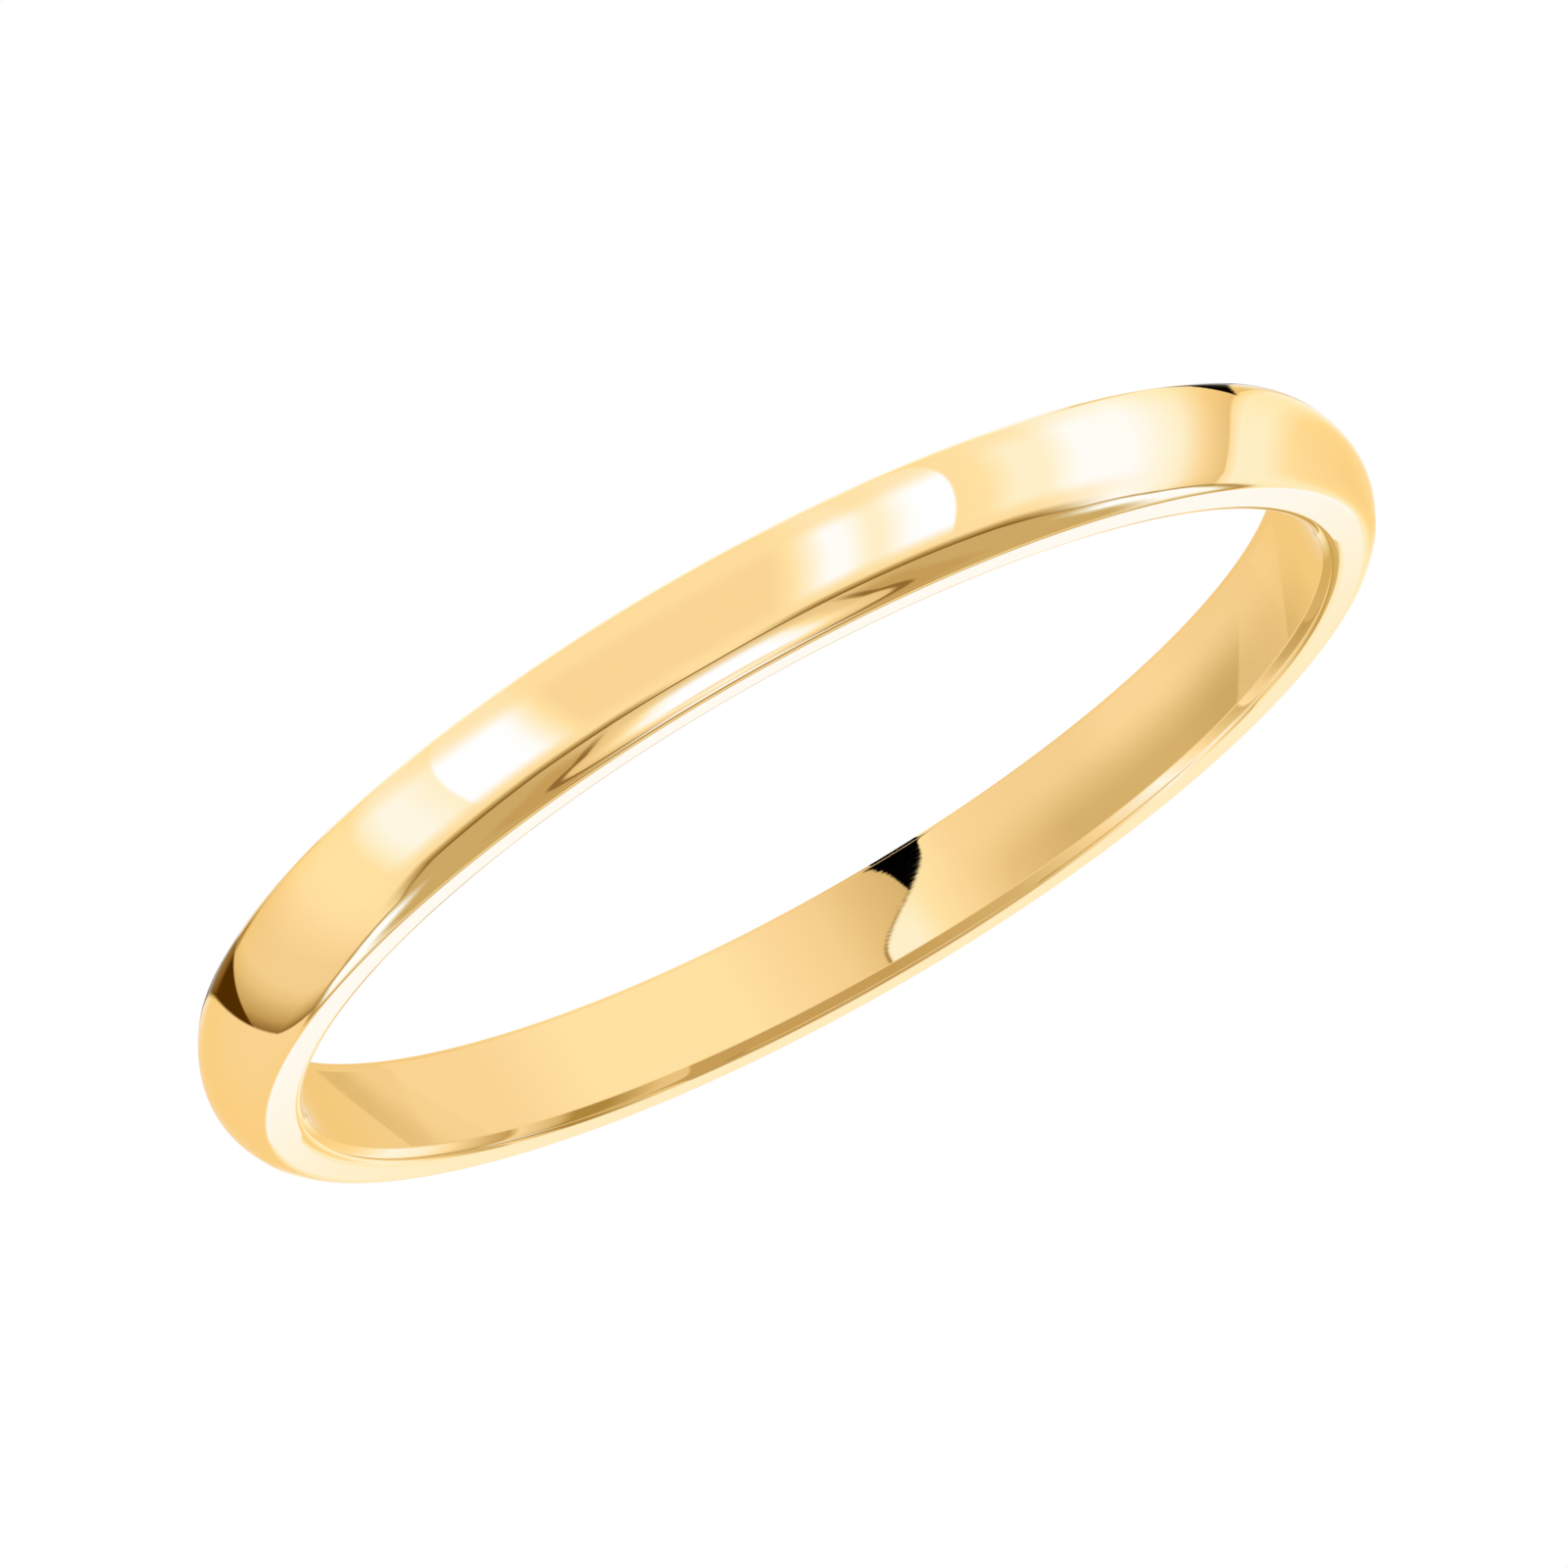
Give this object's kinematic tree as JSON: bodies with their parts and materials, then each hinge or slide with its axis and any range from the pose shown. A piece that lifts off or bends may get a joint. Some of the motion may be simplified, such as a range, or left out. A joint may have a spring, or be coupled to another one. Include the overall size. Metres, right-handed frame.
{
  "type": "wedding band",
  "caption": "Plain polished yellow gold wedding band with a low domed outer face, flat sides and a straight finger hole.",
  "frame": {"origin": "centre of the finger hole at the middle of the band's width", "axes": "+Z along the ring's axis; the band lies flat and is the same all round"},
  "size_m": [0.0198, 0.0198, 0.0018],
  "materials": {
    "yellow_gold": null
  },
  "bodies": {
    "root": {"band": "yellow_gold"}
  },
  "joints": []
}
